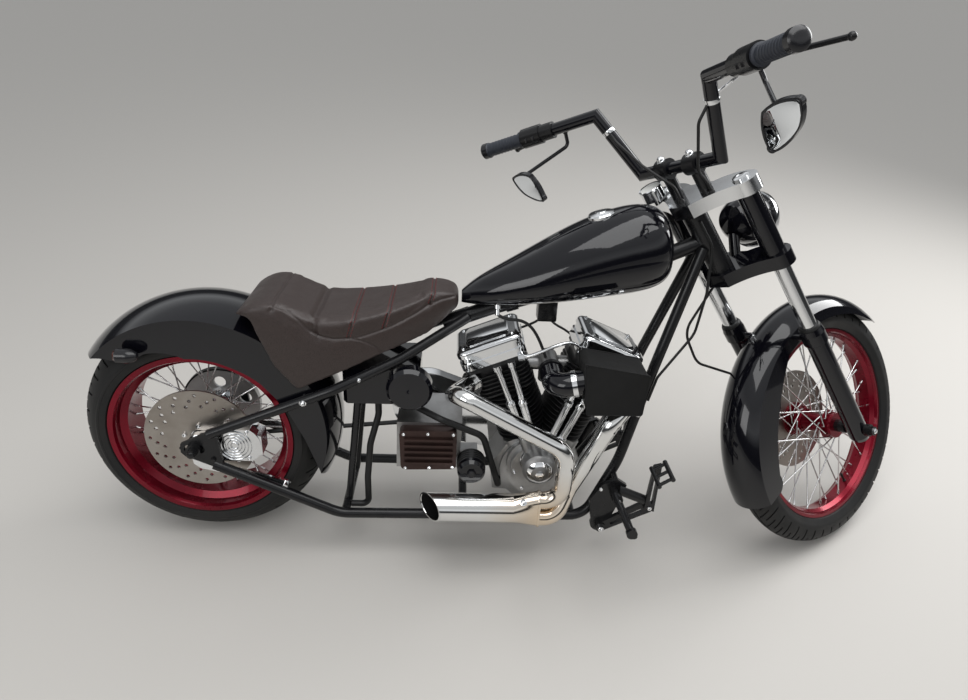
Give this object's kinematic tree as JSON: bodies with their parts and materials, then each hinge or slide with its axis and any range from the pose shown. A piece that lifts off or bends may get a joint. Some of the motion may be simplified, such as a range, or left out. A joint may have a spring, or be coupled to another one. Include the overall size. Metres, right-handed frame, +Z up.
{
  "type": "chopper motorcycle",
  "caption": "Rigid-frame chopper motorcycle with a finned V-twin engine, laced wheels, raked fork, Z handlebar, forward controls, and a side stand that it leans on.",
  "frame": {"origin": "on the floor, under the middle of the parked machine's box", "axes": "+X forward along the machine, +Y to its left, +Z up; the machine leans to its left on its side stand"},
  "size_m": [2.3695, 0.8412, 1.4137],
  "materials": {
    "frame_paint": "satin black powder coat",
    "body_paint": "deep gloss black",
    "chrome": "polished chrome",
    "polished_aluminium": "polished",
    "cast_aluminium": "cast, satin",
    "engine_black": "wrinkle black",
    "gearbox_brown": "dark brown anodised",
    "black_parts": "satin black",
    "red_anodised": "red anodised",
    "stainless": "polished stainless",
    "disc_steel": "ground",
    "tyre": "worn rubber",
    "rubber": "matt",
    "seat_leather": "grained dark brown with red stitching",
    "filter_fabric": "black mesh sock",
    "black_plastic": "gloss"
  },
  "bodies": {
    "frame": {"air_filter": "filter_fabric", "cam_cover": "chrome", "carburettor": "cast_aluminium", "crankcase": "cast_aluminium", "cylinder_barrels": "engine_black", "cylinder_heads": "engine_black", "drive_belt": "rubber", "exhaust_collector": "chrome", "exhaust_headers": "chrome", "forward_controls": "black_parts", "frame_cradle_left": "frame_paint", "frame_cradle_right": "frame_paint", "frame_cross_members": "frame_paint", "frame_lines": "rubber", "frame_neck": "frame_paint", "frame_stays": "frame_paint", "fuel_tank": "body_paint", "intake_elbow": "body_paint", "oil_filter": "body_paint", "oil_tank": "body_paint", "primary_cover": "chrome", "pushrod_tubes": "chrome", "rear_axle": "black_parts", "rear_caliper": "chrome", "rear_fender": "body_paint", "rocker_covers": "chrome", "seat": "seat_leather", "torque_arm": "chrome", "transmission": "cast_aluminium", "transmission_cover": "gearbox_brown", "turn_signals": "black_plastic"},
    "steering": {"top_clamp": "polished_aluminium", "bottom_clamp": "body_paint", "fork_tubes": "chrome", "fork_covers": "body_paint", "fork_sliders": "body_paint", "front_axle": "stainless", "front_fender": "body_paint", "front_caliper": "black_parts", "handlebar": "body_paint", "grips": "rubber", "risers": "black_parts", "hand_controls": "black_parts", "mirrors": "black_plastic", "gauge": "chrome", "headlight": "body_paint", "steered_cables": "rubber"},
    "front_wheel": {"front_tyre": "tyre", "front_rim": "red_anodised", "front_spokes": "stainless", "front_hub": "red_anodised", "front_brake_disc": "disc_steel"},
    "rear_wheel": {"rear_tyre": "tyre", "rear_rim": "red_anodised", "rear_spokes": "stainless", "rear_hub": "chrome", "rear_brake_disc": "disc_steel", "rear_pulley": "polished_aluminium"},
    "side_stand": {"side_stand": "black_parts"}
  },
  "joints": [
    {"name": "steering", "type": "hinge", "parent": "frame", "child": "steering", "pos_m": [0.8345, -0.08559, 0.29724], "axis": [-0.5652, 0.114, 0.817], "range_deg": [-72, 0]},
    {"name": "front_wheel_spin", "type": "hinge", "parent": "steering", "child": "front_wheel", "pos_m": [0.87316, -0.04808, 0.31875], "axis": [-0.486, 0.7542, -0.4415], "continuous": true},
    {"name": "rear_wheel_spin", "type": "hinge", "parent": "frame", "child": "rear_wheel", "pos_m": [-0.86284, -0.08485, 0.31987], "axis": [-0.0014, 0.9903, -0.1392], "continuous": true},
    {"name": "side_stand", "type": "hinge", "parent": "frame", "child": "side_stand", "pos_m": [0.03973, 0.05823, 0.07843], "axis": [0.1124, 0.5278, 0.8419], "range_deg": [0, 109.6]}
  ]
}
